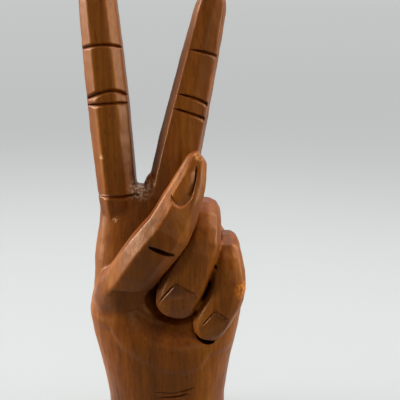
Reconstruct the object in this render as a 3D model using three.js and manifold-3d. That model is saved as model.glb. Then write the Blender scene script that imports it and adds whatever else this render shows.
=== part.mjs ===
// A carved wooden hand that stands on its wrist with the index and middle fingers raised in a V,
// the ring and little fingers folded down and the thumb laid across them. Rings and chains hang on
// the raised fingers. Five fingers are butted and dowelled to one block that holds palm and wrist.
//
// Millimetres, +Z up. The origin is the middle of the flat end of the wrist, on the table.
// The palm faces -Y and the little finger's side is +X, so this is a left hand.

import * as THREE from "three";
import { mergeVertices } from "three/addons/utils/BufferGeometryUtils.js";
import Module from "manifold-3d";

const wasm = await Module();
wasm.setup();

// Driving dimensions of the palm block

const WRIST_WIDTH = 54.8;
const WRIST_DEPTH = 42;
const WRIST_HEIGHT = 22; // straight up to here, then it swells into the heel of the hand
const HEEL_WIDTH = 70.2; // across the base of the thumb
const HEEL_DEPTH = 37;
const HEEL_HEIGHT = 64.5;
const PALM_WIDTH = 64.5; // across the four knuckles
const PALM_DEPTH = 25;
const PALM_HEIGHT = 90;
const PALM_SETBACK = 4.1; // middle of its thickness, behind the middle of the wrist
const WEB_WIDTH = 36; // top of the block, under the two raised fingers
const WEB_DEPTH = 15;
const WEB_HEIGHT = 122.5; // bottom of the V between the raised fingers
const WEB_RISE = 3.1; // bottom of the V, above the index finger's joint
const HOLLOW_WIDTH = 73; // scooped hollow of the palm, under the folded fingertips
const HOLLOW_DEPTH = 42;
const HOLLOW_HEIGHT = 48;

// Driving dimensions of the fingers

const INDEX_LENGTH = 96.8; // past the joint
const INDEX_WIDTH = 16.9;
const INDEX_DEPTH = 16.4;
const INDEX_LEAN = 3.7; // degrees from upright, towards the thumb's side
const INDEX_INSET = 2.9; // from the edge of the palm
const MIDDLE_LENGTH = 89.5;
const MIDDLE_WIDTH = 18.6;
const MIDDLE_DEPTH = 16.8;
const MIDDLE_LEAN = 12.8; // degrees from upright, towards the little finger's side
const MIDDLE_RISE = 0.8; // its joint, above the index finger's
const RAISED_SPACING = 23.3; // between the joints of the two raised fingers
const RAISED_SETBACK = 3.5; // their axes, behind the middle of the wrist
const RAISED_ROOT = 20; // length of their roots in the block
const RING_WIDTH = 16.8;
const RING_DEPTH = 14.6;
const RING_REACH = 44; // from the top of the bent knuckle down to the fingertip
const RING_DROP = 11; // bent knuckle below the web
const LITTLE_WIDTH = 15.6;
const LITTLE_DEPTH = 13.6;
const LITTLE_REACH = 40;
const LITTLE_DROP = 26;
const LITTLE_OVERHANG = 3; // past the edge of the palm
const FOLDED_SPACING = 10.4; // between the two bent knuckles
const FOLDED_FACE = -8; // the plane where the folded fingers are cut off the block
const FOLDED_SETBACK = 5; // the bent knuckles, behind that plane
const THUMB_LENGTH = 82; // past the joint
const THUMB_WIDTH = 20;
const THUMB_DEPTH = 16;
const THUMB_INSET = 13; // joint from the edge of the heel
const THUMB_FORWARD = 7; // joint in front of the middle of the wrist
const THUMB_DROP = 38.5; // joint below the ring finger's bent knuckle
const THUMB_FOLD = 9.4; // lower edge of the thumb over the hollow, above the joint

// Driving dimensions of the joints and the carved lines

const GLUE_GAP = 0.3; // between glued faces, and round each dowel
const DOWEL_DIAMETER = 6;
const LONG_DOWEL = 28; // raised fingers and thumb
const SHORT_DOWEL = 13; // folded fingers
const CREASE_DEPTH = 0.9;
const CREASE_WIDTH = 1.3;
const NAIL_DEPTH = 0.8; // the flat of the nail, below the round of the fingertip

const WHITTLED_SIDES = 8; // long knife flats round the thumb and the raised fingers
const FOLDED_SIDES = 12;
const PALM_SIDES = 44;
const FLAT_FRONT = 0.5; // turn of the flats, as a share of one: a flat faces the front
const EDGE_FRONT = 0.1; // an edge between two flats faces the front
const STEPS = 2; // sections from one station to the next
const TIP_STEPS = 5;
const TIP_BLUNT = 0.35; // of a step: a tip ends in a small facet, not in a point
const SQUARENESS = 2.4; // 2 is an ellipse; above it a section fills out towards a rectangle
const PALM_SQUARENESS = 3;

const right = new THREE.Vector3(1, 0, 0);
const away = new THREE.Vector3(0, 1, 0);
const forward = new THREE.Vector3(0, -1, 0);
const up = new THREE.Vector3(0, 0, 1);
const down = new THREE.Vector3(0, 0, -1);

const mix = THREE.MathUtils.lerp;
const radians = THREE.MathUtils.degToRad;
const at = (origin, x, y, z) => new THREE.Vector3(origin.x + x, origin.y + y, origin.z + z);

// One section of a carved form: a rounded outline of flats across a centre line, full at its sides.
function section({ centre, side, out, halfWidth, halfDepth, sides, turn, squareness }) {
  const step = (2 * Math.PI) / sides;
  const rounded = (value) => Math.sign(value) * Math.abs(value) ** (2 / squareness);
  const full = rounded(Math.cos(turn * step));
  const points = [];
  for (let i = 0; i < sides; i += 1) {
    const angle = (i + turn) * step;
    const u = (rounded(Math.cos(angle)) / full) * halfWidth;
    const v = (rounded(Math.sin(angle)) / full) * halfDepth;
    points.push(centre.clone().addScaledVector(side, u).addScaledVector(out, v));
  }
  return points;
}

// A closed skin over a row of sections, with both ends filled.
function skin(sections) {
  const sides = sections[0].length;
  const faces = [];
  for (let row = 0; row + 1 < sections.length; row += 1) {
    for (let i = 0; i < sides; i += 1) {
      const a = row * sides + i;
      const b = row * sides + ((i + 1) % sides);
      faces.push(a, b, b + sides, a, b + sides, a + sides);
    }
  }
  const last = (sections.length - 1) * sides;
  for (let i = 1; i + 1 < sides; i += 1) {
    faces.push(0, i + 1, i);
    faces.push(last, last + i, last + i + 1);
  }
  const geometry = new THREE.BufferGeometry().setFromPoints(sections.flat());
  return geometry.setIndex(faces);
}

// A finger follows a bent centre line through stations, each a point with a width and a depth.
// It starts at the root in the block, is cut off at the joint and is rounded over `tip` at its end.
function makeFinger({ stations, ...rest }) {
  const line = new THREE.CatmullRomCurve3(stations.map(([point]) => point));
  const sizes = new THREE.CatmullRomCurve3(
    stations.map(([, width, depth]) => new THREE.Vector3(width / 2, depth / 2, 0)),
  );
  return { line, sizes, steps: (stations.length - 1) * STEPS, ...rest };
}

// Centre, directions and half sizes of a finger at t, from 0 at the root to 1 at the last station.
// `out` points to the nail.
function frameAt({ line, sizes, across }, t) {
  const along = line.getTangent(t);
  const side = across.clone().addScaledVector(along, -along.dot(across)).normalize();
  const half = sizes.getPoint(t);
  return { centre: line.getPoint(t), along, side, out: along.clone().cross(side), half };
}

// `grow` swells the form to make the clearance round it.
function fingerForm(finger, grow = 0) {
  const { sides, turn } = finger;
  const sections = [];
  const place = (t, reach, shrink) => {
    const { centre, along, side, out, half } = frameAt(finger, t);
    centre.addScaledVector(along, reach);
    const halfWidth = (half.x + grow) * shrink;
    const halfDepth = (half.y + grow) * shrink;
    const squareness = SQUARENESS;
    sections.push(section({ centre, side, out, halfWidth, halfDepth, sides, turn, squareness }));
  };
  for (let i = 0; i <= finger.steps; i += 1) {
    place(i / finger.steps, 0, 1);
  }
  for (let i = 1; i <= TIP_STEPS; i += 1) {
    const angle = (i / (TIP_STEPS + TIP_BLUNT)) * (Math.PI / 2);
    place(1, (finger.tip + grow) * Math.sin(angle), Math.cos(angle));
  }
  return skin(sections);
}

// The palm's form is a row of level sections, each given by its height, its four edges and how
// square it is.
function palmForm(levels) {
  const middle = new THREE.CatmullRomCurve3(
    levels.map(([z, x0, x1, y0, y1]) => new THREE.Vector3((x0 + x1) / 2, (y0 + y1) / 2, z)),
  );
  const sizes = new THREE.CatmullRomCurve3(
    levels.map(([, x0, x1, y0, y1, s]) => new THREE.Vector3((x1 - x0) / 2, (y1 - y0) / 2, s)),
  );
  const steps = (levels.length - 1) * STEPS;
  const sections = [];
  for (let i = 0; i <= steps; i += 1) {
    const { x, y, z } = sizes.getPoint(i / steps);
    sections.push(section({
      centre: middle.getPoint(i / steps),
      side: right,
      out: away,
      halfWidth: x,
      halfDepth: y,
      sides: PALM_SIDES,
      turn: FLAT_FRONT,
      squareness: z,
    }));
  }
  return skin(sections);
}

function toSolid(geometry) {
  const bare = geometry.clone();
  bare.deleteAttribute("normal");
  bare.deleteAttribute("uv");
  const welded = mergeVertices(bare);
  return new wasm.Manifold(new wasm.Mesh({
    numProp: 3,
    vertProperties: new Float32Array(welded.attributes.position.array),
    triVerts: new Uint32Array(welded.index.array),
  }));
}

function toGeometry(solid) {
  const mesh = solid.getMesh();
  const geometry = new THREE.BufferGeometry();
  geometry.setAttribute("position", new THREE.BufferAttribute(mesh.vertProperties, 3));
  geometry.setIndex(new THREE.BufferAttribute(mesh.triVerts, 1));
  geometry.computeVertexNormals();
  return geometry;
}

// Keeps the part of a solid past a plane, on the side that the axis points to.
const past = (solid, point, axis) => solid.trimByPlane(axis.toArray(), point.dot(axis));

// Sets a cutter that was drawn about the origin into a finger's own directions.
function setInto(geometry, { centre, side, out, along }, shift) {
  const turn = new THREE.Matrix4().makeBasis(side, out, along);
  turn.setPosition(centre.clone().addScaledVector(out, shift));
  return toSolid(geometry.applyMatrix4(turn));
}

// V groove round the palm's side of a raised finger, at a share of its length. The inner edge of a
// ring cuts it. It fades out at the finger's sides, and `tilt` lifts its middle.
function crease(finger, share, tilt) {
  const length = RAISED_ROOT + share * finger.length;
  const frame = frameAt(finger, finger.line.getUtoTmapping(length / finger.line.getLength()));
  const tube = 3 * CREASE_DEPTH;
  const edge = 1.02 * frame.half.x;
  const ring = new THREE.TorusGeometry(edge + tube, tube, 4, 40);
  ring.scale(1, 1, CREASE_WIDTH / 2 / CREASE_DEPTH);
  ring.rotateX(-radians(tilt));
  return setInto(ring, frame, edge - frame.half.y + CREASE_DEPTH);
}

// V groove that is deepest in its middle and runs out at both ends, cut with the rim of a wheel.
// `run` is its direction on the surface and `facing` points out of the wood.
function knifeLine(centre, facing, run, length) {
  const radius = length ** 2 / (8 * CREASE_DEPTH);
  const wheel = new THREE.SphereGeometry(radius, 96, 2);
  wheel.scale(1, CREASE_WIDTH / 2 / CREASE_DEPTH, 1);
  const frame = { centre, side: run, out: facing.clone().cross(run), along: facing };
  wheel.translate(0, 0, radius - CREASE_DEPTH);
  return setInto(wheel, frame, 0);
}

// Flat of the nail, from a share of the tip behind the place t to past the fingertip
function nailCut(finger, t, share) {
  const frame = frameAt(finger, t);
  const size = 4 * finger.tip;
  const block = new THREE.BoxGeometry(2 * frame.half.x, size, size);
  block.translate(0, size / 2 + frame.half.y - NAIL_DEPTH, size / 2 - share * finger.tip);
  return setInto(block, frame, 0);
}

// Where the fingers start on the block

const indexJoint = new THREE.Vector3(
  -PALM_WIDTH / 2 + INDEX_INSET + INDEX_WIDTH / 2,
  RAISED_SETBACK,
  WEB_HEIGHT - WEB_RISE,
);
const middleJoint = at(indexJoint, RAISED_SPACING, 0, MIDDLE_RISE);
const littleKnuckle = new THREE.Vector3(
  PALM_WIDTH / 2 + LITTLE_OVERHANG - LITTLE_WIDTH / 2,
  FOLDED_FACE + FOLDED_SETBACK,
  WEB_HEIGHT - LITTLE_DROP,
);
const ringKnuckle = at(littleKnuckle, -FOLDED_SPACING, 0, LITTLE_DROP - RING_DROP);
const thumbJoint = new THREE.Vector3(
  -HEEL_WIDTH / 2 + THUMB_INSET,
  -THUMB_FORWARD,
  ringKnuckle.z - THUMB_DROP,
);

// A raised finger is straight. Its taper lists shares of its length with shares of its width;
// its root leans back into the block.
function raisedFinger({ joint, lean, length, width, depth, turn, taper }) {
  const axis = up.clone().applyAxisAngle(away, radians(lean));
  const root = at(joint, 0, depth / 4, 0).addScaledVector(axis, -RAISED_ROOT);
  const stations = [[root, width * 0.95, depth * 0.9]];
  for (const [share, size] of taper) {
    const point = joint.clone().addScaledVector(axis, share * length);
    stations.push([point, size * width, Math.min(size, 1) * depth]);
  }
  const tip = length * (1 - taper.at(-1)[0]);
  return makeFinger({ stations, across: right, tip, joint, axis, length, sides: WHITTLED_SIDES, turn });
}

const indexFinger = raisedFinger({
  joint: indexJoint,
  lean: -INDEX_LEAN,
  length: INDEX_LENGTH,
  width: INDEX_WIDTH,
  depth: INDEX_DEPTH,
  turn: FLAT_FRONT,
  taper: [[0, 0.98], [0.2, 1], [0.43, 1], [0.67, 0.95], [0.86, 0.88]],
});

const middleFinger = raisedFinger({
  joint: middleJoint,
  lean: MIDDLE_LEAN,
  length: MIDDLE_LENGTH,
  width: MIDDLE_WIDTH,
  depth: MIDDLE_DEPTH,
  turn: EDGE_FRONT,
  taper: [[0, 1.09], [0.24, 1.05], [0.42, 0.97], [0.55, 0.9], [0.76, 0.8], [0.87, 0.72]],
});

// A folded finger comes out of the block over its bent knuckle and hangs down in front of the palm.
// Its path lists points from the knuckle as shares of its reach, with shares of its width and depth.
// `knuckleWidth` is such a share too, and `offset` moves the dowel away from the finger that this
// one is pressed against.
function foldedFinger({ knuckle, reach, width, depth, knuckleWidth, offset, path }) {
  const place = (x, y, z) => at(knuckle, x * reach, y * reach, z * reach);
  const stations = [
    [place(-0.06, 0.2, -0.44), knuckleWidth * width, depth * 1.3],
    [place(-0.02, 0.16, -0.16), knuckleWidth * width, depth * 1.2],
    [knuckle, knuckleWidth * width, depth],
  ];
  for (const [x, y, z, broad, thick] of path) {
    stations.push([place(x, y, z), broad * width, thick * depth]);
  }
  const tip = reach * (0.99 + path.at(-1)[2]);
  const joint = new THREE.Vector3(knuckle.x + offset * width, FOLDED_FACE, knuckle.z - 0.04 * reach);
  const shape = { stations, across: right, tip, sides: FOLDED_SIDES, turn: FLAT_FRONT };
  return makeFinger({ ...shape, joint, axis: forward });
}

const ringFinger = foldedFinger({
  knuckle: ringKnuckle,
  reach: RING_REACH,
  width: RING_WIDTH,
  depth: RING_DEPTH,
  knuckleWidth: 0.9,
  offset: 0,
  path: [
    [0, -0.182, -0.04, 0.92, 1],
    [-0.016, -0.282, -0.19, 0.98, 1],
    [-0.072, -0.305, -0.348, 1.02, 1],
    [-0.124, -0.314, -0.461, 1.1, 1],
    [-0.183, -0.318, -0.602, 1.14, 1],
    [-0.238, -0.314, -0.739, 1.12, 0.96],
    [-0.265, -0.305, -0.83, 1.05, 0.9],
  ],
});

const littleFinger = foldedFinger({
  knuckle: littleKnuckle,
  reach: LITTLE_REACH,
  width: LITTLE_WIDTH,
  depth: LITTLE_DEPTH,
  knuckleWidth: 0.72,
  offset: 0.1,
  path: [
    [0.005, -0.188, -0.028, 0.77, 1],
    [0.018, -0.285, -0.19, 0.93, 1],
    [0.015, -0.315, -0.36, 0.98, 1],
    [-0.03, -0.322, -0.512, 1.02, 1],
    [-0.105, -0.322, -0.65, 1.03, 1],
    [-0.16, -0.315, -0.775, 1, 0.96],
    [-0.173, -0.305, -0.838, 0.94, 0.9],
  ],
});

// The thumb leaves the heel forwards over the palm and runs up across the ring finger.
// Its path lists points from the joint and its sizes, all as shares.
function crossedThumb(path) {
  const stations = path.map(([x, y, z, width, depth]) => [
    at(thumbJoint, x * THUMB_LENGTH, y * THUMB_LENGTH, z * THUMB_LENGTH),
    width * THUMB_WIDTH,
    depth * THUMB_DEPTH,
  ]);
  return makeFinger({
    stations,
    across: new THREE.Vector3(-0.82, 0, 0.57),
    tip: 0.085 * THUMB_LENGTH,
    joint: thumbJoint,
    axis: new THREE.Vector3(0.3, -0.35, 0.88).normalize(),
    sides: WHITTLED_SIDES,
    turn: FLAT_FRONT,
  });
}

const thumb = crossedThumb([
  [0.06, 0.07, -0.24, 0.95, 1],
  [0, 0, 0, 1.02, 1.05],
  [0.07, -0.075, 0.12, 1, 1.02],
  [0.21, -0.15, 0.335, 1, 1],
  [0.3, -0.16, 0.45, 0.96, 0.97],
  [0.37, -0.14, 0.58, 0.78, 0.82],
  [0.413, -0.115, 0.69, 0.64, 0.66],
  [0.435, -0.095, 0.765, 0.47, 0.5],
]);

// Palm and wrist: height, then left, right, front and back edges, then squareness

const wristX = WRIST_WIDTH / 2;
const wristY = WRIST_DEPTH / 2;
const heelX = HEEL_WIDTH / 2;
const heelY = HEEL_DEPTH / 2;
const palmX = PALM_WIDTH / 2;
const palmBack = PALM_SETBACK + PALM_DEPTH / 2;
const palmFront = PALM_SETBACK - PALM_DEPTH / 2;
const littleX = littleKnuckle.x - 0.16 * LITTLE_WIDTH;
const ringX = ringKnuckle.x + 0.18 * RING_WIDTH;
const webX = (indexJoint.x + middleJoint.x) / 2;
const webY = (share) => RAISED_SETBACK + share * WEB_DEPTH;
const webZ = (share) => mix(PALM_HEIGHT, WEB_HEIGHT, share);

const palmLevels = [
  [0, -wristX, wristX, -wristY, wristY, SQUARENESS],
  [WRIST_HEIGHT / 2, -wristX, wristX, -wristY, wristY, SQUARENESS],
  [WRIST_HEIGHT, -wristX, wristX, -wristY, wristY, SQUARENESS],
  [
    mix(WRIST_HEIGHT, HEEL_HEIGHT, 0.5),
    -mix(wristX, heelX, 0.46),
    mix(wristX, heelX, 0.4),
    -wristY,
    mix(wristY, heelY, 0.4),
    SQUARENESS,
  ],
  [HEEL_HEIGHT, -heelX, 0.99 * heelX, -heelY, heelY, SQUARENESS],
  [
    mix(HEEL_HEIGHT, PALM_HEIGHT, 0.39),
    -mix(heelX, palmX, 0.72),
    mix(heelX, palmX, 0.58),
    mix(-heelY, palmFront, 0.6),
    mix(heelY, palmBack, 0.16),
    PALM_SQUARENESS,
  ],
  [PALM_HEIGHT, -palmX, palmX, palmFront, palmBack, PALM_SQUARENESS],
  [
    webZ(0.43),
    -0.93 * palmX,
    littleX,
    mix(palmFront, webY(-0.5), 0.68),
    mix(palmBack, webY(0.5), 0.25),
    PALM_SQUARENESS,
  ],
  [webZ(0.77), -0.9 * palmX, ringX, webY(-0.467), webY(0.6), SQUARENESS],
  [webZ(0.94), webX - 0.5 * WEB_WIDTH, webX + 0.5 * WEB_WIDTH, webY(-0.4), webY(0.433), SQUARENESS],
  [WEB_HEIGHT, webX - 0.44 * WEB_WIDTH, webX + 0.44 * WEB_WIDTH, webY(-0.267), webY(0.3), SQUARENESS],
];

// The hollow is an egg shape. Its middle is given as shares of its own size, from the front of the
// heel under the ring finger.
const hollow = new THREE.SphereGeometry(0.5, 32, 20);
hollow.translate(-0.124, -0.274, 0.24);
hollow.scale(HOLLOW_WIDTH, HOLLOW_DEPTH, HOLLOW_HEIGHT);
hollow.translate(ringKnuckle.x, -heelY, HEEL_HEIGHT);

let palm = toSolid(palmForm(palmLevels));

const fingers = {
  thumb,
  index_finger: indexFinger,
  middle_finger: middleFinger,
  ring_finger: ringFinger,
  little_finger: littleFinger,
};

const dowelLengths = {
  thumb: LONG_DOWEL,
  index_finger: LONG_DOWEL,
  middle_finger: LONG_DOWEL,
  ring_finger: SHORT_DOWEL,
  little_finger: SHORT_DOWEL,
};

// The root of each finger, up to the glue line, is one with the block.
for (const finger of Object.values(fingers)) {
  const face = finger.joint.clone().addScaledVector(finger.axis, -GLUE_GAP);
  palm = palm.add(past(toSolid(fingerForm(finger)), face, finger.axis.clone().negate()));
}
const scoop = toSolid(hollow);
palm = palm.subtract(scoop);

// Past its joint each finger is a piece of its own. Grown by the gap it clears the neighbours
// that it is pressed against.
const pieces = {};
const clearances = {};
for (const [name, finger] of Object.entries(fingers)) {
  pieces[name] = past(toSolid(fingerForm(finger)), finger.joint, finger.axis);
  clearances[name] = past(toSolid(fingerForm(finger, GLUE_GAP)), finger.joint, finger.axis);
  palm = palm.subtract(clearances[name]);
}
pieces.thumb = pieces.thumb.subtract(past(scoop, at(thumbJoint, 0, 0, THUMB_FOLD), down));
pieces.ring_finger = pieces.ring_finger.subtract(clearances.thumb);
pieces.little_finger = pieces.little_finger.subtract(clearances.ring_finger).subtract(clearances.thumb);
pieces.middle_finger = pieces.middle_finger.subtract(clearances.thumb).subtract(clearances.ring_finger);

// Carved lines: three across each raised finger, a crescent on the thumb, creases on the wrist,
// and one round the foot of the index finger that hides its glue line

// Each line across a raised finger: its place as a share of the length, and its tilt in degrees
const carveLines = (name, lines) => {
  for (const [share, tilt] of lines) {
    pieces[name] = pieces[name].subtract(crease(fingers[name], share, tilt));
  }
};
carveLines("index_finger", [[0.417, 8], [0.459, 20], [0.657, 12]]);
carveLines("middle_finger", [[0.397, 8], [0.469, 14], [0.682, 12]]);

const THUMB_BEND = 0.47; // place of the crescent on the thumb's centre line
const THUMB_BEND_SLOPE = 19; // degrees
const thumbBend = frameAt(thumb, THUMB_BEND);
const thumbFace = thumbBend.centre.clone().addScaledVector(thumbBend.out, thumbBend.half.y);
const thumbRun = thumbBend.side.clone().applyAxisAngle(thumbBend.out, radians(THUMB_BEND_SLOPE));
pieces.thumb = pieces.thumb.subtract(knifeLine(thumbFace, thumbBend.out, thumbRun, 0.65 * THUMB_WIDTH));

const indexFoot = at(indexJoint, 0, -INDEX_DEPTH / 2, 0);
const indexLine = knifeLine(indexFoot, forward, right, 1.1 * INDEX_WIDTH);
pieces.index_finger = pieces.index_finger.subtract(indexLine);
palm = palm.subtract(indexLine);

// Each wrist crease: its middle as shares of the wrist's width and height, its slope in degrees and
// its length as a share of the width
const wristCreases = [
  [0, 1.39, -7, 0.26],
  [0.19, 1.455, 23, 0.22],
  [0.02, 1.265, -1, 0.28],
  [0.185, 1.31, 23, 0.13],
];
for (const [x, z, slope, length] of wristCreases) {
  const bulge = (1 - Math.abs(2 * x) ** SQUARENESS) ** (1 / SQUARENESS);
  const middle = new THREE.Vector3(x * WRIST_WIDTH, -wristY * bulge, z * WRIST_HEIGHT);
  const run = right.clone().applyAxisAngle(forward, radians(slope));
  palm = palm.subtract(knifeLine(middle, forward, run, length * WRIST_WIDTH));
}

// Each nail: its place on the finger's centre line, and how much of the tip it takes behind that
const carveNail = (name, t, share) => {
  pieces[name] = pieces[name].subtract(nailCut(fingers[name], t, share));
};
carveNail("index_finger", 1, 0.07);
carveNail("middle_finger", 1, 0.17);
carveNail("ring_finger", 1, 0.54);
carveNail("little_finger", 1, 0.53);
carveNail("thumb", 0.86, 1.15);

const carvedWood = () => new THREE.MeshStandardMaterial({ color: 0x84501f, roughness: 0.42, metalness: 0 });
const dowelWood = () => new THREE.MeshStandardMaterial({ color: 0xc8a06a, roughness: 0.7, metalness: 0 });

const hand = new THREE.Group();
hand.name = "jewelry_display_hand";

function addMesh(name, geometry, material) {
  const mesh = new THREE.Mesh(geometry, material);
  mesh.name = name;
  hand.add(mesh);
  return mesh;
}

function dowelForm(length, grow) {
  const radius = DOWEL_DIAMETER / 2 + grow;
  return new THREE.CylinderGeometry(radius, radius, length + 2 * grow, 20);
}

// A dowel crosses each joint, half of it in the block and half in the finger.
for (const [name, finger] of Object.entries(fingers)) {
  const dowel = addMesh(`${name}_dowel`, dowelForm(dowelLengths[name], 0), dowelWood());
  dowel.position.copy(finger.joint);
  dowel.quaternion.setFromUnitVectors(away, finger.axis);
  dowel.updateMatrix();
  const bore = toSolid(dowelForm(dowelLengths[name], GLUE_GAP).applyMatrix4(dowel.matrix));
  palm = palm.subtract(bore);
  addMesh(name, toGeometry(pieces[name].subtract(bore)), carvedWood());
}
addMesh("palm_and_wrist", toGeometry(palm), carvedWood());

export default hand;
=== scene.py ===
import math

import bpy
import numpy as np
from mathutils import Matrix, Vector
from mathutils.kdtree import KDTree


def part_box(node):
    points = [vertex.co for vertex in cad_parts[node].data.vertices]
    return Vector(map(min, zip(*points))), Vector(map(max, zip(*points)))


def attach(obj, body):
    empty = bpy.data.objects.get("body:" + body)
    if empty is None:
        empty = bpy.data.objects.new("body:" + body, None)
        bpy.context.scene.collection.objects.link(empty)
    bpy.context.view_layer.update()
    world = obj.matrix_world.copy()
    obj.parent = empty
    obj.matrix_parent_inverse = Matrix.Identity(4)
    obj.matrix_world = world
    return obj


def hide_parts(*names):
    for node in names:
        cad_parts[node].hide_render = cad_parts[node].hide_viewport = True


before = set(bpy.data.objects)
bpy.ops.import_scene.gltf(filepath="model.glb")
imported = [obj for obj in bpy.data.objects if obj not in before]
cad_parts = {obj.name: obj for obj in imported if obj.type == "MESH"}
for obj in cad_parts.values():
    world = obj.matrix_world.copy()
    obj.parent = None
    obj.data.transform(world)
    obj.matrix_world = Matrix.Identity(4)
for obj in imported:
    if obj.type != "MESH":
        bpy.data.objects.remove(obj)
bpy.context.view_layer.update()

print("frame loaded:", len(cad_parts), "nodes")

mm = 0.001  # the hand is written in mm, +X to the little finger, -Y to the viewer, +Z up
raisedFingers = ["index_finger", "middle_finger"]
foldedFingers = ["ring_finger", "little_finger"]
fingers = raisedFingers + foldedFingers + ["thumb"]


# Bench tools

def newObject(name, data):
    thing = bpy.data.objects.new(name, data)
    bpy.context.scene.collection.objects.link(thing)
    return thing


def only(*things):
    if bpy.context.object and bpy.context.object.mode != "OBJECT":
        bpy.ops.object.mode_set(mode="OBJECT")
    bpy.ops.object.select_all(action="DESELECT")
    for thing in things:
        thing.select_set(True)
    bpy.context.view_layer.objects.active = things[0]


def editAll(piece):
    only(piece)
    bpy.ops.object.mode_set(mode="EDIT")
    bpy.ops.mesh.select_all(action="SELECT")


def modify(piece, kind, **settings):
    only(piece)
    bpy.ops.object.modifier_add(type=kind)
    modifier = piece.modifiers[-1]
    for name, value in settings.items():
        setattr(modifier, name, value)
    bpy.ops.object.modifier_apply(modifier=modifier.name)


def cut(piece, tool, operation="DIFFERENCE", keepTool=False):
    modify(piece, "BOOLEAN", object=tool, operation=operation, solver="MANIFOLD")
    if not keepTool:
        bpy.data.objects.remove(tool)


def copyOf(piece):
    return newObject(piece.name, piece.data.copy())


def keepLargest(piece):  # drops the crumbs that a cut leaves
    editAll(piece)
    bpy.ops.mesh.separate(type="LOOSE")
    bpy.ops.object.mode_set(mode="OBJECT")
    parts = sorted(bpy.context.selected_objects, key=lambda part: len(part.data.vertices))
    for crumb in parts[:-1]:
        bpy.data.objects.remove(crumb)
    return parts[-1]


def keepPast(piece, point, axis):  # saws the piece off square to the axis
    editAll(piece)
    bpy.ops.mesh.bisect(plane_co=point, plane_no=axis, use_fill=True, clear_inner=True, threshold=1e-7)
    bpy.ops.object.mode_set(mode="OBJECT")


def egg(middle, size, turn=(0, 0, 0)):  # rounded lump, sizes in mm, turn in degrees
    bpy.ops.object.select_all(action="DESELECT")
    bpy.ops.mesh.primitive_uv_sphere_add(segments=32, ring_count=20, radius=0.5,
                                         location=Vector(middle) * mm,
                                         rotation=[math.radians(angle) for angle in turn],
                                         scale=Vector(size) * mm)
    lump = bpy.context.object
    bpy.ops.object.transform_apply()
    return lump


def places(piece):
    found = np.empty(3 * len(piece.data.vertices))
    piece.data.vertices.foreach_get("co", found)
    return found.reshape(-1, 3) / mm


def fade(distance, reach):  # 1 up to no distance, 0 from the reach on
    share = np.clip(1 - distance / reach, 0, 1)
    return share * share * (3 - 2 * share)


def fadeRound(piece, middle, reach):
    return fade(np.linalg.norm(places(piece) - middle, axis=1), reach)


def weigh(piece, name, weights):
    group = piece.vertex_groups.new(name=name)
    for index in np.flatnonzero(weights > 0.01):
        group.add([int(index)], float(weights[index]), "REPLACE")
    return group.name


def soften(piece, name, weights, rounds):
    group = weigh(piece, name, weights)
    modify(piece, "SMOOTH", factor=0.5, iterations=rounds, vertex_group=group)


# Plain forms, from the frame's own solids

thumbFill = {  # stretches that are made whole again before the nail and the crease are cut
    "along": (0.58, 0, 0.81),
    "stretches": [((-9, -20, 94), (2, -20, 109)), ((3, -20, 111), (30, -20, 160))],
}


def cadCopy(node, swell):
    copy = newObject(node + " form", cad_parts[node].data.copy())
    editAll(copy)
    bpy.ops.mesh.remove_doubles(threshold=0.001 * mm)
    bpy.ops.object.mode_set(mode="OBJECT")
    modify(copy, "DISPLACE", strength=swell * mm, mid_level=0)
    return copy


def fillOver(form):  # bridges every shallow cut
    editAll(form)
    bpy.ops.mesh.convex_hull()
    bpy.ops.object.mode_set(mode="OBJECT")


def plainForm(node, swell):  # the node without its own creases and nails
    form = cadCopy(node, swell)
    if node in raisedFingers:
        fillOver(form)
    if node == "thumb":
        along = Vector(thumbFill["along"])
        for start, end in thumbFill["stretches"]:
            stretch = copyOf(form)
            keepPast(stretch, Vector(start) * mm, along)
            keepPast(stretch, Vector(end) * mm, -along)
            fillOver(stretch)
            cut(form, stretch, "UNION")
    return form


def jointOf(finger):  # middle and direction of the dowel
    points = np.array([vertex.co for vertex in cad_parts[finger + "_dowel"].data.vertices])
    middle = points.mean(0)
    axis = Vector(np.linalg.svd(points - middle)[2][0])
    low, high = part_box(finger)
    if axis.dot((low + high) / 2 - Vector(middle)) < 0:
        axis.negate()
    return Vector(middle), axis


# The blank: the plain forms closed up, rounded over and marked by the knife

blankShape = {
    "swell": 0.25,  # closes the glue gaps of the frame
    "knifeMarkDepth": 0.35,
    "knifeMarkSize": 8,
}

web = {"middle": (-5.2, 2.5, 122.5), "size": (7.4, 11, 13)}  # between the raised fingers, on the middle one
lumps = [
    {"middle": (-20.5, 9.3, 111), "size": (16, 10, 20)},  # knuckles and the start of the sinews, on the back
    {"middle": (-0.5, 9.8, 112), "size": (16, 11, 21)},
    {"middle": (15.0, 10.6, 104), "size": (15, 11, 19)},
    {"middle": (25.5, 9.2, 88), "size": (13, 10, 16)},
    {"middle": (18.4, -11, 80), "size": (5.5, 10, 27), "turn": (0, 21, 0)},  # left between the folded fingers
    web,
]

bowlRim = {  # edge of the hollow in the palm, rounded over
    "edge": [(-23, 75), (-20.5, 71.5), (-13, 63.5), (0.5, 57), (16, 55), (27, 56)],  # X and Z
    "front": -6,  # Y, only what lies in front of it is the rim
    "band": 9,
    "rounds": 260,
}

thumbBase = {"middle": (-29, -9, 73), "reach": 15, "rounds": 120}

knuckles = {"height": 106, "reach": 24, "back": 7, "blend": 4, "rounds": 90}  # rounded over on the back

heel = {  # pad at the foot of the palm, cut back below this edge, X and Z
    "edge": [(-24.7, 61.1), (-19.3, 52.9), (-11.3, 48.3), (-3.2, 44.1),
             (3.3, 41.8), (9.9, 41.8), (16.5, 44.1), (20.6, 49.2)],
    "step": 0.8,
    "band": 5,
    "front": -14,
    "blend": 10,
}

fork = {"middle": (-10.5, 0, 122), "reach": 8, "rough": 1.8, "grit": 1.0, "level": 0.4}  # torn grain

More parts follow.
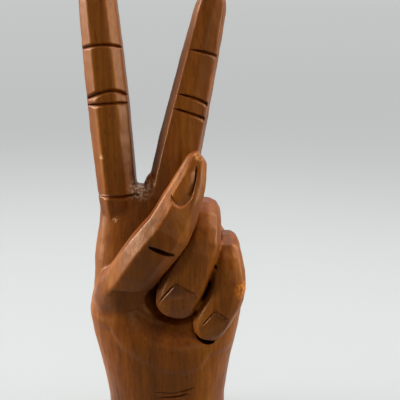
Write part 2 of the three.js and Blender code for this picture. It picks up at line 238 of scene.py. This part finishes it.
knifeMarks = bpy.data.textures.new("knifeMarks", "CLOUDS")
knifeMarks.noise_scale = blankShape["knifeMarkSize"] * mm
knifeMarks.noise_depth = 1
tornGrain = bpy.data.textures.new("tornGrain", "CLOUDS")
tornGrain.noise_scale = fork["grit"] * mm
tornGrain.noise_depth = 2


def rimDistance(spots):  # from the edge of the hollow, seen from the front
    farOff = 1000
    nearest = np.full(len(spots), farOff, float)
    across = spots[:, [0, 2]]
    for start, end in zip(bowlRim["edge"], bowlRim["edge"][1:]):
        start, end = np.array(start), np.array(end)
        run = end - start
        share = np.clip((across - start) @ run / (run @ run), 0, 1)
        nearest = np.minimum(nearest, np.linalg.norm(across - start - share[:, None] * run, axis=1))
    nearest[spots[:, 1] > bowlRim["front"]] = farOff
    return nearest


def cutBackHeel(blank):
    x, y, z = places(blank).T
    edge = np.interp(x, *np.transpose(heel["edge"]))
    below = fade(z - edge + heel["band"] / 2, heel["band"])
    pad = weigh(blank, "heel", below * fade(y - heel["front"], heel["blend"]))
    modify(blank, "DISPLACE", strength=-heel["step"] * mm, mid_level=0, vertex_group=pad)


def carvedBlank(name, voxel, smooth, forms):
    forms = forms + [plainForm("palm_and_wrist", blankShape["swell"])]
    forms += [egg(**lump) for lump in lumps]
    only(*forms)
    bpy.ops.object.join()
    blank = bpy.context.object
    blank.name = name
    modify(blank, "REMESH", mode="VOXEL", voxel_size=voxel * mm)
    modify(blank, "SMOOTH", factor=0.5, iterations=smooth)
    soften(blank, "rim", fade(rimDistance(places(blank)), bowlRim["band"]), bowlRim["rounds"])
    soften(blank, "thumbBase", fadeRound(blank, thumbBase["middle"], thumbBase["reach"]), thumbBase["rounds"])
    spots = places(blank)
    level = fade(np.abs(spots[:, 2] - knuckles["height"]), knuckles["reach"])
    behind = fade(knuckles["back"] - spots[:, 1], knuckles["blend"])
    soften(blank, "knuckles", level * behind, knuckles["rounds"])
    cutBackHeel(blank)
    modify(blank, "DISPLACE", texture=knifeMarks, texture_coords="LOCAL",
           strength=blankShape["knifeMarkDepth"] * mm, mid_level=0.5)
    torn = weigh(blank, "torn", fadeRound(blank, fork["middle"], fork["reach"]))
    modify(blank, "DISPLACE", texture=tornGrain, texture_coords="LOCAL",
           strength=fork["rough"] * mm, mid_level=fork["level"], vertex_group=torn)
    return blank


# Fingers, each cut free from a blank along its own room

fingerRooms = {
    "room": 0.7,  # how far past its own surface a finger is cut free
    "line": 0.3,  # dark line left between fingers that touch
    "webRoom": 3,
    "under": {  # each finger gives way to the ones that lie on it
        "ring_finger": ["thumb"],
        "little_finger": ["thumb", "ring_finger"],
        "middle_finger": ["thumb", "ring_finger"],
    },
}
rooms = {}
for finger in fingers:
    room = plainForm(finger, fingerRooms["room"])
    cut(room, cadCopy(finger + "_dowel", fingerRooms["room"]), "UNION")
    if finger == "middle_finger":
        webSize = [size + fingerRooms["webRoom"] for size in web["size"]]
        cut(room, egg(web["middle"], webSize), "UNION")
    keepPast(room, *jointOf(finger))
    rooms[finger] = room
for finger, above in fingerRooms["under"].items():
    for other in above:
        cut(rooms[finger], plainForm(other, fingerRooms["line"]))
print("rooms of the fingers ready")

blanks = [  # fingers that are carved in one go
    {"voxel": 0.5, "smooth": 24, "fingers": ["index_finger"]},
    {"voxel": 0.5, "smooth": 12, "fingers": ["middle_finger"]},
    {"voxel": 0.5, "smooth": 10, "fingers": foldedFingers},
    {"voxel": 0.5, "smooth": 9, "fingers": ["thumb"]},
]
pieces = {}
for shape in blanks:
    forms = [plainForm(finger, blankShape["swell"]) for finger in shape["fingers"]]
    blank = carvedBlank("blank", shape["voxel"], shape["smooth"], forms)
    for finger in shape["fingers"]:
        piece = copyOf(blank)
        piece.name = "carved_" + finger
        cut(piece, rooms[finger], "INTERSECT", keepTool=True)
        pieces[finger] = keepLargest(piece)
        print("cut free:", finger, len(pieces[finger].data.polygons), "faces")
    bpy.data.objects.remove(blank)


# Palm and wrist, with the hollow scooped out by a round gouge

palmShape = {
    "voxel": 0.55,
    "smooth": 10,
    "stubs": {"ring_finger": 90, "little_finger": 80},  # only the knuckles above this height are on it
    "front": -4,  # Y, the hollow is worked in front of it
    "hollow": (4, -19, 84),
    "reach": 30,
    "gougeStep": 2.4,
    "gougeDepth": 0.4,
    "undercut": {"depth": 10, "reach": 6, "top": 92, "blend": 10},  # dug away round the ring fingertip
    "gougeMark": {  # under the little fingertip
        "middle": (18.3, -14.5, 57.4), "size": (10, 11, 6.2), "turn": (0, 28, 0),
    },
}

gougeMarks = bpy.data.textures.new("gougeMarks", "WOOD")
gougeMarks.wood_type = "RINGNOISE"
gougeMarks.noise_scale = 0.8
gougeMarks.turbulence = 1.2
gougeAxis = newObject("gouge axis", None)
gougeAxis.location = Vector(palmShape["hollow"]) * mm
gougeAxis.rotation_euler = (math.radians(90), 0, 0)
gougeAxis.scale = [10 * palmShape["gougeStep"] * mm / math.pi] * 3  # the rings repeat every tenth of pi

forms = [plainForm(finger, blankShape["swell"]) for finger in fingers]
for form, finger in zip(forms, fingers):
    if finger in palmShape["stubs"]:
        keepPast(form, (0, 0, palmShape["stubs"][finger] * mm), (0, 0, 1))
palm = carvedBlank("carved_palm_and_wrist", palmShape["voxel"], palmShape["smooth"], forms)
spots = places(palm)
inFront = spots[:, 1] < palmShape["front"]
scooped = weigh(palm, "gouge", fadeRound(palm, palmShape["hollow"], palmShape["reach"]) * inFront)
modify(palm, "DISPLACE", texture=gougeMarks, texture_coords="OBJECT", texture_coords_object=gougeAxis,
       strength=palmShape["gougeDepth"] * mm, mid_level=0.5, vertex_group=scooped)

undercut = palmShape["undercut"]
ringTip = places(pieces["ring_finger"])
ringOutline = KDTree(len(ringTip))  # the finger seen from the front
for number, (x, z) in enumerate(ringTip[:, [0, 2]]):
    ringOutline.insert((x, 0, z), number)
ringOutline.balance()
away = np.array([ringOutline.find((x, 0, z))[2] for x, z in spots[:, [0, 2]]])
lowDown = fade(spots[:, 2] - undercut["top"] + undercut["blend"], undercut["blend"])
dug = weigh(palm, "undercut", fade(away, undercut["reach"]) * lowDown * inFront)
modify(palm, "DISPLACE", direction="Y", strength=undercut["depth"] * mm, mid_level=0, vertex_group=dug)

cut(palm, egg(**palmShape["gougeMark"]))
for finger in fingers:
    cut(palm, rooms[finger])
keepPast(palm, (0, 0, 0), (0, 0, 1))
pieces["palm_and_wrist"] = keepLargest(palm)
bpy.data.objects.remove(gougeAxis)
print("palm:", len(pieces["palm_and_wrist"].data.polygons), "faces")


# Knife for the lines and chisel for the nails

knife = {
    "lift": 1.5,  # the tool stands clear of the surface
    "taper": 0.35,  # share of a line over which its end thins out
    "lean": 0.2,  # the bottom lies towards the upper side
    "rounds": 4,  # evens out the facets that a line crosses
}
nailCut = {"depth": 1.3, "wrap": 20}
chiselReach = 15


def through(spots, steps=6):  # smooth path through the spots
    spots = np.array(spots, float)
    before, after = 2 * spots[0] - spots[1], 2 * spots[-1] - spots[-2]
    row = np.vstack([before, spots, after])
    share = np.linspace(0, 1, steps, endpoint=False)[:, None]
    path = [0.5 * (2 * b + (c - a) * share + (2 * a - 5 * b + 4 * c - d) * share ** 2
                   + (3 * b - a - 3 * c + d) * share ** 3)
            for a, b, c, d in zip(row, row[1:], row[2:], row[3:])]
    return np.vstack(path + [spots[-1:]])


def unit(rows):
    return rows / np.linalg.norm(rows, axis=1, keepdims=True)


def cutter(corners, faces):
    mesh = bpy.data.meshes.new("cutter")
    mesh.from_pydata([Vector(corner) * mm for corner in corners], [], faces)
    tool = newObject("cutter", mesh)
    editAll(tool)
    bpy.ops.mesh.normals_make_consistent(inside=False)
    bpy.ops.object.mode_set(mode="OBJECT")
    return tool


def knifeLine(nodes, spots, depth, width, ends=(0.3, 0.3), wrap=0):  # V cut, steep on its upper side
    points, outward = [], []
    for spot in through(spots):
        hits = [pieces[node].closest_point_on_mesh(Vector(spot) * mm) for node in nodes]
        near = min(hits, key=lambda hit: (hit[1] / mm - Vector(spot)).length)
        points.append(near[1] / mm)
        outward.append(near[2])
    points, outward = np.array(points), np.array(outward)
    if wrap:  # round a finger, whose middle lies this far behind the line
        outward = points - points.mean(0) - (0, wrap, 0)
    for rows in (points, outward):
        for _ in range(knife["rounds"]):
            rows[1:-1] = (rows[:-2] + 2 * rows[1:-1] + rows[2:]) / 4
    run = np.gradient(points, axis=0)
    across = unit(np.cross(run, outward))
    across *= np.where(across[:, 2:] < 0, -1, 1)
    out = np.cross(across, run)
    out = unit(out * np.where((out * outward).sum(1, keepdims=True) < 0, -1, 1))
    share = np.linspace(0, 1, len(points)) / knife["taper"]
    size = np.minimum(1, np.minimum(ends[0] + share, ends[1] + share[::-1]))[:, None]
    half = size * width / 2 * (1 + knife["lift"] / depth)
    upper = points + out * knife["lift"] + across * half
    lower = points + out * knife["lift"] - across * half
    bottom = points - out * size * depth + across * size * width * knife["lean"]
    count = len(points)
    faces = [(0, count, 2 * count), (count - 1, 2 * count - 1, 3 * count - 1)]
    for i in range(count - 1):
        for a, b in ((0, count), (count, 2 * count), (2 * count, 0)):
            faces.append((a + i, a + i + 1, b + i + 1, b + i))
    tool = cutter(np.vstack([upper, bottom, lower]), faces)
    for node in nodes:
        cut(pieces[node], tool, keepTool=True)
    bpy.data.objects.remove(tool)


def nailBed(node, outline, bed, slope, back=False):  # flat sunk nail, outline and slope over X and Z
    corners = np.array(outline)
    floor = bed[1] + (corners - (bed[0], bed[2])) @ slope
    low = np.column_stack([corners[:, 0], floor, corners[:, 1]])
    high = low + (0, chiselReach if back else -chiselReach, 0)
    count = len(corners)
    faces = [tuple(range(count)), tuple(range(count, 2 * count))]
    faces += [(i, (i + 1) % count, count + (i + 1) % count, count + i) for i in range(count)]
    cut(pieces[node], cutter(np.vstack([low, high]), faces))


# Index finger

indexFinger = {
    "lines": [
        {"spots": [(-33.2, 1, 182.7), (-24.2, -4.4, 184.6), (-17.3, 1, 183.1)], "depth": 1.5, "width": 1.6},
        {"spots": [(-31.8, 1, 161.8), (-21.6, -4.6, 166), (-15.1, 1, 163.3)], "depth": 1.6, "width": 1.8},
        {"spots": [(-30.8, 0, 159.3), (-20.4, -4.7, 160.5), (-15.1, 0, 160)], "depth": 1.5, "width": 1.6},
    ],
    "foot": {  # round its root, on the seam with the palm
        "spots": [(-30.5, 1.5, 119.6), (-27, -3, 119.3), (-20.9, -4.9, 119.1), (-15, -4.6, 119.4),
                  (-10.5, -2.6, 120.3)],
        "depth": 2.2, "width": 2, "ends": (0.5, 0.4), "wrap": 8,
    },
    "nail": {
        "outline": through([(-32.3, 222), (-31.8, 203), (-27, 196.4), (-22.2, 203), (-21.7, 222)]),
        "bed": (-27, 10, 208), "slope": (0, -0.03), "back": True,
    },
}
for line in indexFinger["lines"]:
    knifeLine(["index_finger"], **line, ends=(0.6, 0.6), wrap=8)
knifeLine(["index_finger", "palm_and_wrist"], **indexFinger["foot"])
nailBed("index_finger", **indexFinger["nail"])


# Middle finger

middleFinger = {
    "lines": [
        {"spots": [(11.3, -3.5, 182.7), (17.5, -3.9, 181.5), (24.2, 0, 179.2)], "depth": 1.5, "width": 1.6},
        {"spots": [(6.2, -4, 164.5), (13, -4.6, 162.8), (19.9, -1, 159.2)], "depth": 1.6, "width": 1.7},
        {"spots": [(4.2, -4, 158.4), (11.7, -4.8, 156.2), (18.7, -1, 153)], "depth": 1.6, "width": 1.7},
    ],
    "nail": {
        "outline": through([(19.5, 212), (16.6, 195), (19, 189), (23.5, 193), (27, 212)]),
        "bed": (21.2, 8.6, 199.5), "slope": (-0.1, -0.03), "back": True,
    },
}
for line in middleFinger["lines"]:
    knifeLine(["middle_finger"], **line, ends=(0.3, 0.9), wrap=8)
nailBed("middle_finger", **middleFinger["nail"])


# Thumb

thumb = {
    "crease": {"middle": (0.2, -27.2, 102.8), "size": (12.6, 5.5, 2.4), "turn": (0, 23, 6)},
    "nailLines": [  # root and right side, cut before the nail is sunk
        {"spots": [(3.6, -23.4, 126.6), (4.8, -24.7, 123.3), (7.8, -25.1, 121.2), (10.8, -24.2, 122.7),
                   (12.9, -21.7, 125.5)], "width": 1.3, "ends": (0.5, 0.7)},
        {"spots": [(12.9, -21.7, 125.5), (14.1, -20.3, 131.6), (14.6, -19.2, 137)],
         "width": 1.3, "ends": (0.5, 0.7)},
    ],
    "nail": {
        "outline": np.vstack([through([(4.2, 127), (5, 123.6), (7.8, 121.6), (10.6, 122.9), (12.6, 125.6),
                                       (13.9, 131.6), (14.4, 137)]),
                              [(15.5, 146), (9, 146)]]),
        "bed": (8, -22.5, 126), "slope": (0.15, 0.21),
    },
    "tip": ((14.9, -17, 142.3), (-0.8, 0, -0.6)),  # point and direction of its slanted end
}
cut(pieces["thumb"], egg(**thumb["crease"]))
for line in thumb["nailLines"]:
    knifeLine(["thumb"], **line, **nailCut)
nailBed("thumb", **thumb["nail"])
keepPast(pieces["thumb"], Vector(thumb["tip"][0]) * mm, thumb["tip"][1])


# Folded fingers

ringFinger = {
    "nailLines": [
        {"spots": [(-1.9, -21.3, 76.8), (1.9, -23.2, 82.2), (5.8, -24.2, 87)],
         "width": 1.0, "ends": (0.4, 1)},
        {"spots": [(5.8, -24.2, 87), (9.7, -24.3, 84.5), (13.6, -23.4, 81.6)],
         "width": 1.2, "ends": (1, 0.5)},
    ],
    "nail": {
        "outline": [(-6.7, 69.6), (5.9, 86.6), (13.2, 81.5), (17, 77), (6, 62)],
        "bed": (9.5, -23.4, 84), "slope": (0, -0.18),
    },
}
littleFinger = {
    "nailLines": [
        {"spots": [(16.9, -21.3, 65.9), (19.2, -22.4, 69), (22.5, -22.7, 73.2)],
         "width": 0.9, "ends": (0.3, 1)},
        {"spots": [(22.5, -22.7, 73.2), (25.6, -22.7, 71), (28.4, -21.6, 68.3)],
         "width": 1.2, "ends": (1, 0.4)},
    ],
    "nail": {
        "outline": [(11, 57.5), (22.6, 72.8), (27.9, 68.3), (32, 64), (20, 50)],
        "bed": (25, -22.0, 70.5), "slope": (0, -0.18),
    },
}
pit = {"middle": (22.6, -18.6, 92.6), "size": (1.4, 2.6, 2.4), "turn": (0, -12, 0)}  # where the two part
for node, shape in (("ring_finger", ringFinger), ("little_finger", littleFinger)):
    for line in shape["nailLines"]:
        knifeLine([node], **line, **nailCut)
    nailBed(node, **shape["nail"])
    cut(pieces[node], egg(**pit))


# Wrist lines and bores

wristLines = [
    [(-5.9, -20.9, 31.7), (5, -21, 30.7), (14.1, -19.5, 33.4)],
    [(-5, -20.9, 28.6), (5.9, -20.9, 29.1), (11.3, -20.1, 30.7)],
]
for spots in wristLines:
    knifeLine(["palm_and_wrist"], spots, depth=2.4, width=1.3)

boreRoom = 0.3  # round each dowel
for finger in fingers:
    for node in (finger, "palm_and_wrist"):
        cut(pieces[node], cadCopy(finger + "_dowel", boreRoom))
print("knife lines, nails and bores cut")


# Materials

def linear(code):
    parts = [int(code[i:i + 2], 16) / 255 for i in (1, 3, 5)]
    return tuple(v / 12.92 if v <= 0.04045 else ((v + 0.055) / 1.055) ** 2.4 for v in parts) + (1,)


def upright(width, length):  # scale of a pattern that runs up the hand, from its size in mm
    return 1 / (width * mm), 1 / (width * mm), 1 / (length * mm)


def addNode(tree, kind, inputs=None, stops=None, **settings):
    node = tree.nodes.new(kind)
    for name, value in settings.items():
        setattr(node, name, value)
    for name, value in (inputs or {}).items():
        if isinstance(value, bpy.types.NodeSocket):
            tree.links.new(value, node.inputs[name])
        else:
            node.inputs[name].default_value = value
    for number, (position, colour) in enumerate(stops or []):
        elements = node.color_ramp.elements
        stop = elements[number] if number < 2 else elements.new(position)
        stop.position = position
        stop.color = linear(colour)
    return node


def newMaterial(name):
    material = bpy.data.materials.new(name)
    material.use_nodes = True
    tree = material.node_tree
    return material, tree, tree.nodes["Principled BSDF"]


wornSpots = [  # places and reaches in mm
    {"spot": (-10.5, -1, 122.5), "reach": 6.5, "tint": "#A58C74"},  # dried residue in the fork
    {"spot": (33.8, -20, 82.5), "reach": 5, "tint": "#C4701E"},  # scuff on the little finger
    {"spot": (15.5, -17, 141), "reach": 2.6, "tint": "#C98C50"},  # rubbed tip of the thumb
    {"spot": (-26.3, -4.2, 137.5), "reach": 1.5, "tint": "#C9A070"},  # nick on the index finger
    {"spot": (-21.7, -3, 108.9), "reach": 1.8, "tint": "#C08A58"},  # nick on the palm
]


# Mahogany, knife-carved, scraped, stained and varnished: upright grain, short dark pores, redder end grain,
# painted shade that darkens the hollows, creases and gaps, and a satin sheen that breaks up over the
# scraper's strokes
def varnishedMahogany():
    material, tree, shader = newMaterial("varnished mahogany")
    place = addNode(tree, "ShaderNodeTexCoord").outputs["Object"]

    def streaks(width, length, **settings):
        stretched = addNode(tree, "ShaderNodeMapping", {"Vector": place, "Scale": upright(width, length)})
        return addNode(tree, "ShaderNodeTexNoise", {"Vector": stretched.outputs[0], "Scale": 1, **settings})

    figure = streaks(13.33, 166.7, Detail=3, Roughness=0.55, Distortion=0.5)
    grain = streaks(1.613, 45.45, Detail=4, Roughness=0.6)
    pore = streaks(0.3846, 3.846, Detail=1)  # drawn coarse, so that it shows
    strokes = streaks(4.167, 12.5, Detail=2)  # of the scraper
    figureColour = addNode(tree, "ShaderNodeValToRGB", {"Fac": figure.outputs["Fac"]},
                           [(0.32, "#562A04"), (0.5, "#6B3606"), (0.7, "#82490A")])
    grainShade = addNode(tree, "ShaderNodeValToRGB", {"Fac": grain.outputs["Fac"]},
                         [(0.32, "#D4C8BC"), (0.6, "#FFFFFF")])
    poreShade = addNode(tree, "ShaderNodeValToRGB", {"Fac": pore.outputs["Fac"]},
                        [(0.29, "#B8A598"), (0.38, "#FFFFFF")])
    facing = addNode(tree, "ShaderNodeNewGeometry").outputs["Normal"]
    upward = addNode(tree, "ShaderNodeSeparateXYZ", {"Vector": facing})
    endShade = addNode(tree, "ShaderNodeValToRGB", {"Fac": upward.outputs["Z"]},
                       [(0.25, "#FFFFFF"), (0.9, "#EBD2C8")])
    # painted shade: ambient occlusion darkens the creases, the gaps between the fingers and the hollow under
    # the fingertips, where shade falls
    hollows = addNode(tree, "ShaderNodeAmbientOcclusion", {"Distance": 10 * mm}, samples=8)
    paintedHollowShade = addNode(tree, "ShaderNodeValToRGB", {"Fac": hollows.outputs["AO"]},
                        [(0.1, "#0A0503"), (0.28, "#9A8070"), (0.46, "#FFFFFF")])
    colour = figureColour.outputs[0]
    for shade in (grainShade, poreShade, endShade, paintedHollowShade):  # 6 and 7 are the two colours of a mix
        colour = addNode(tree, "ShaderNodeMix", {"Factor": 1.0, 6: colour, 7: shade.outputs[0]},
                         data_type="RGBA", blend_type="MULTIPLY").outputs[2]

    wear = addNode(tree, "ShaderNodeTexNoise", {"Vector": place, "Scale": 1 / (1.111 * mm), "Detail": 3})
    wearShare = addNode(tree, "ShaderNodeMapRange",
                        {"Value": wear.outputs["Fac"], "From Min": 0.42, "From Max": 0.6})
    for worn in wornSpots:
        reach = worn["reach"] * mm
        away = addNode(tree, "ShaderNodeVectorMath", {0: place, 1: Vector(worn["spot"]) * mm},
                       operation="DISTANCE")
        near = addNode(tree, "ShaderNodeMapRange",
                       {"Value": away.outputs["Value"], "From Min": 0.3 * reach, "From Max": reach,
                        "To Min": 1, "To Max": 0})
        patchy = addNode(tree, "ShaderNodeMath", {0: near.outputs[0], 1: wearShare.outputs[0]},
                         operation="MULTIPLY")
        colour = addNode(tree, "ShaderNodeMix",
                         {"Factor": patchy.outputs[0], 6: colour, 7: linear(worn["tint"])},
                         data_type="RGBA").outputs[2]

    relief = addNode(tree, "ShaderNodeMath", {0: grain.outputs["Fac"], 1: poreShade.outputs[0]},
                     operation="ADD")
    strokeBump = addNode(tree, "ShaderNodeBump",
                         {"Height": strokes.outputs["Fac"], "Strength": 0.6, "Distance": 0.5 * mm})
    bump = addNode(tree, "ShaderNodeBump",
                   {"Height": relief.outputs[0], "Strength": 0.4, "Distance": 0.06 * mm,
                    "Normal": strokeBump.outputs[0]})
    sheen = addNode(tree, "ShaderNodeMapRange",
                    {"Value": figure.outputs["Fac"], "From Min": 0.3, "From Max": 0.7,
                     "To Min": 0.36, "To Max": 0.48})
    tree.links.new(colour, shader.inputs["Base Color"])
    tree.links.new(sheen.outputs[0], shader.inputs["Roughness"])
    tree.links.new(bump.outputs[0], shader.inputs["Normal"])
    shader.inputs["IOR"].default_value = 1.5
    shader.inputs["Specular IOR Level"].default_value = 0.36
    shader.inputs["Specular Tint"].default_value = linear("#FFBE7C")  # toned lacquer
    shader.inputs["Coat Weight"].default_value = 0.06
    shader.inputs["Coat Roughness"].default_value = 0.3
    return material


# Beech dowel rod, turned and left bare: pale, fine short flecks, matt
def bareBeech():
    material, tree, shader = newMaterial("bare beech dowel")
    place = addNode(tree, "ShaderNodeTexCoord").outputs["Object"]
    fleckPlace = addNode(tree, "ShaderNodeMapping", {"Vector": place, "Scale": upright(0.6667, 3.333)})
    fleck = addNode(tree, "ShaderNodeTexNoise", {"Vector": fleckPlace.outputs[0], "Scale": 1, "Detail": 2})
    fleckColour = addNode(tree, "ShaderNodeValToRGB", {"Fac": fleck.outputs["Fac"]},
                          [(0.35, "#B98C58"), (0.6, "#D2AC78")])
    tree.links.new(fleckColour.outputs[0], shader.inputs["Base Color"])
    shader.inputs["Roughness"].default_value = 0.7
    return material


# Finish the pieces

def dress(piece, material, node):
    only(piece)
    bpy.ops.object.shade_smooth_by_angle(angle=math.radians(38))
    piece.vertex_groups.clear()
    piece.data.materials.clear()
    piece.data.materials.append(material)
    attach(piece, "root")
    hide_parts(node)


mahogany = varnishedMahogany()
beech = bareBeech()
for node, piece in pieces.items():
    dress(piece, mahogany, node)
for finger in fingers:
    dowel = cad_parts[finger + "_dowel"]
    dowel.data.materials.clear()
    dowel.data.materials.append(beech)
print("materials on")


# Floor

def seenDirectly(tree):  # by the camera, or mirrored or through glass
    light = addNode(tree, "ShaderNodeLightPath").outputs
    seen = light["Is Camera Ray"]
    for kind in ("Is Glossy Ray", "Is Transmission Ray"):
        seen = addNode(tree, "ShaderNodeMath", {0: seen, 1: light[kind]}, operation="MAXIMUM").outputs[0]
    return seen


# Paper sweep, rolled and uncoated: matt, faint tooth, its paleness seen directly only
def greyPaper():
    material, tree, shader = newMaterial("grey paper sweep")
    place = addNode(tree, "ShaderNodeTexCoord").outputs["Object"]
    tooth = addNode(tree, "ShaderNodeTexNoise", {"Vector": place, "Scale": 1 / (1.111 * mm), "Detail": 2})
    toothColour = addNode(tree, "ShaderNodeValToRGB", {"Fac": tooth.outputs["Fac"]},
                          [(0.3, "#646665"), (0.7, "#6A6C6B")])
    seen = seenDirectly(tree)
    inView = addNode(tree, "ShaderNodeMix", {"Factor": seen, 6: linear("#303030"), 7: toothColour.outputs[0]},
                     data_type="RGBA")  # the paper throws little light back up at the hand
    tree.links.new(inView.outputs[2], shader.inputs["Base Color"])
    shader.inputs["Emission Color"].default_value = linear("#A0A2A1")
    tree.links.new(seen, shader.inputs["Emission Strength"])
    shader.inputs["Roughness"].default_value = 0.9
    return material


bpy.ops.object.select_all(action="DESELECT")
bpy.ops.mesh.primitive_plane_add(size=60)
floor = bpy.context.object
floor.name = "floor"
floor.data.materials.append(greyPaper())


# Light, in metres and watts

handMiddle = (0, 0, 0.11)
lampSpread = 70  # degrees, gridded, so that a lamp spares the floor
lamps = {
    "left wall": {"place": (-1.1, 0.12, 0.62), "size": (0.6, 0.9), "power": 5.6},  # thumb's upper strip, heel
    "right wall": {"place": (0.64, 0.12, 0.69), "size": (0.4, 0.8), "power": 1.9},  # folded knuckles
    "left window": {"place": (-1.0, -0.2, 0.2), "size": (0.2, 0.36), "power": 1.05},  # sheen on the facets
    "right window": {"place": (1.0, -0.2, 0.2), "size": (0.2, 0.36), "power": 1.05},
    "top": {"place": (0.0, 0.0, 0.8), "size": (0.6, 0.5), "power": 0.35},
    "room": {"place": (0.3, -0.85, 0.2), "size": (0.4, 0.3), "power": 0.2},  # a little into the hollow
}
ceiling = {"power": 2.5, "softness": 90, "turn": (-18, -8, 0)}  # from behind and a little from the left


def softbox(name, place, size, power):
    data = bpy.data.lights.new(name, "AREA")
    data.shape = "RECTANGLE"
    data.size, data.size_y = size
    data.energy = power
    data.spread = math.radians(lampSpread)
    lamp = newObject(name, data)
    lamp.location = place
    lamp.visible_camera = False
    lamp.rotation_euler = (Vector(handMiddle) - Vector(place)).to_track_quat("-Z", "Y").to_euler()


for name, lamp in lamps.items():
    softbox(name, **lamp)

ceilingData = bpy.data.lights.new("ceiling", "SUN")
ceilingData.energy = ceiling["power"]
ceilingData.angle = math.radians(ceiling["softness"])
ceilingLamp = newObject("ceiling", ceilingData)
ceilingLamp.location = (0, 0, 2)
ceilingLamp.rotation_euler = [math.radians(angle) for angle in ceiling["turn"]]

scene = bpy.context.scene
world = bpy.data.worlds.new("studio")
scene.world = world
world.use_nodes = True
tree = world.node_tree
wall = addNode(tree, "ShaderNodeMix",
               {"Factor": seenDirectly(tree), 6: linear("#363636"), 7: linear("#C6C8C7")},
               data_type="RGBA")
tree.links.new(wall.outputs[2], tree.nodes["Background"].inputs["Color"])
print("floor and light set")


# Camera, fitted to the photo

photoCamera = {"lens": 59.104, "sensor": 36, "place": (0.0159, -0.2801, 0.2025), "tilt": 17}  # degrees down
cameraData = bpy.data.cameras.new("photo camera")
cameraData.lens = photoCamera["lens"]
cameraData.sensor_width = photoCamera["sensor"]
cameraData.clip_start = 0.01
camera = newObject("photo camera", cameraData)
camera.location = photoCamera["place"]
camera.rotation_euler = (math.radians(90 - photoCamera["tilt"]), 0, 0)
scene.camera = camera
scene.view_settings.view_transform = "Standard"
print("camera set")
